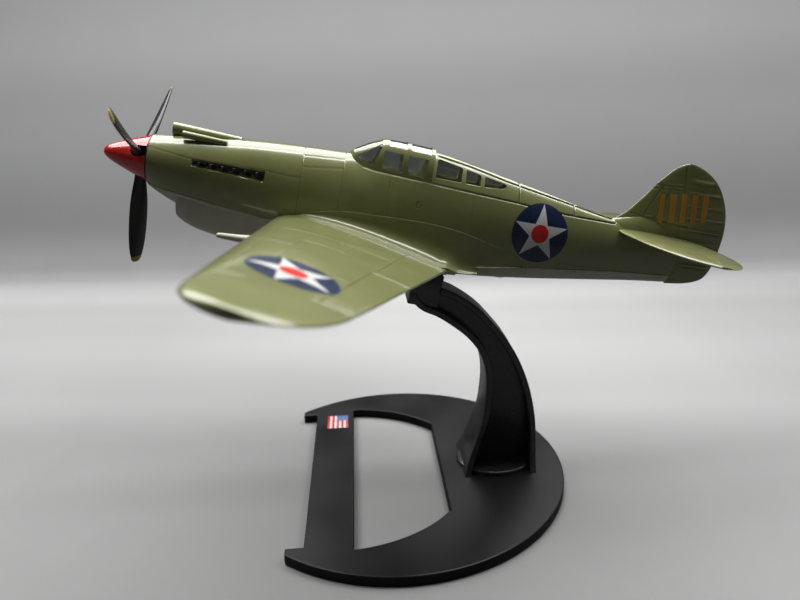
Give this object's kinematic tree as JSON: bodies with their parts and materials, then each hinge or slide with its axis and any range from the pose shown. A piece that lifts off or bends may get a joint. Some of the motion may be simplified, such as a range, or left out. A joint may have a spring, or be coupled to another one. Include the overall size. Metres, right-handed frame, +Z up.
{
  "type": "propeller plane display model",
  "caption": "Desk-top model of a low-wing single-engine propeller fighter, held nose-up by a curved arm on a D-shaped open base.",
  "frame": {"origin": "underside of the base, on the centre line, midway between the two screws under the arm foot", "axes": "+X runs aft and level, from the nose side of the base to the tail side; +Y to the model's starboard side; +Z up"},
  "size_m": [0.1333, 0.157, 0.092],
  "materials": {
    "upper_paint": "semi-gloss olive paint on die-cast metal",
    "upper_plastic": "semi-gloss olive plastic",
    "under_plastic": "semi-gloss light grey plastic",
    "black_plastic": "satin black plastic",
    "clear_plastic": "clear polished plastic",
    "cockpit_plastic": "matt dark green plastic",
    "screw_steel": "zinc-plated steel",
    "bush_brass": "turned brass",
    "prop_plastic": "satin black plastic with yellow painted tips",
    "spinner_paint": "glossy red paint on plastic",
    "stand_plastic": "fine-grained satin black plastic",
    "label": "printed film label"
  },
  "bodies": {
    "stand": {"base_plate": "stand_plastic", "stand_arm": "stand_plastic", "base_screws": "screw_steel", "flag_label": "label"},
    "airframe": {"fuselage_casting": "upper_paint", "wing_casting": "upper_paint", "wing_underside": "under_plastic", "chin_cowl": "under_plastic", "radiator_insert": "black_plastic", "rear_belly": "under_plastic", "rear_deck": "upper_plastic", "rear_windows": "clear_plastic", "canopy_glass": "clear_plastic", "canopy_frame": "upper_plastic", "cockpit_tub": "cockpit_plastic", "pilot_seat": "cockpit_plastic", "tailplane_left": "upper_paint", "tailplane_right": "upper_paint", "exhaust_left": "black_plastic", "exhaust_right": "black_plastic", "retracted_wheels": "black_plastic", "stand_socket": "black_plastic", "belly_screws": "screw_steel", "shaft_bush": "bush_brass"},
    "propeller": {"propeller_blades": "prop_plastic", "spinner": "spinner_paint", "spinner_backplate": "black_plastic", "propeller_shaft": "screw_steel", "shaft_collar": "screw_steel"}
  },
  "joints": [
    {"name": "lift_off", "type": "slide", "parent": "stand", "child": "airframe", "axis": [0.2233, 0, 0.9748], "range_m": [0, 0.02]},
    {"name": "propeller_spin", "type": "hinge", "parent": "airframe", "child": "propeller", "pos_m": [-0.07263, 0, 0.07829], "axis": [0.9748, 0, -0.2233], "continuous": true}
  ]
}
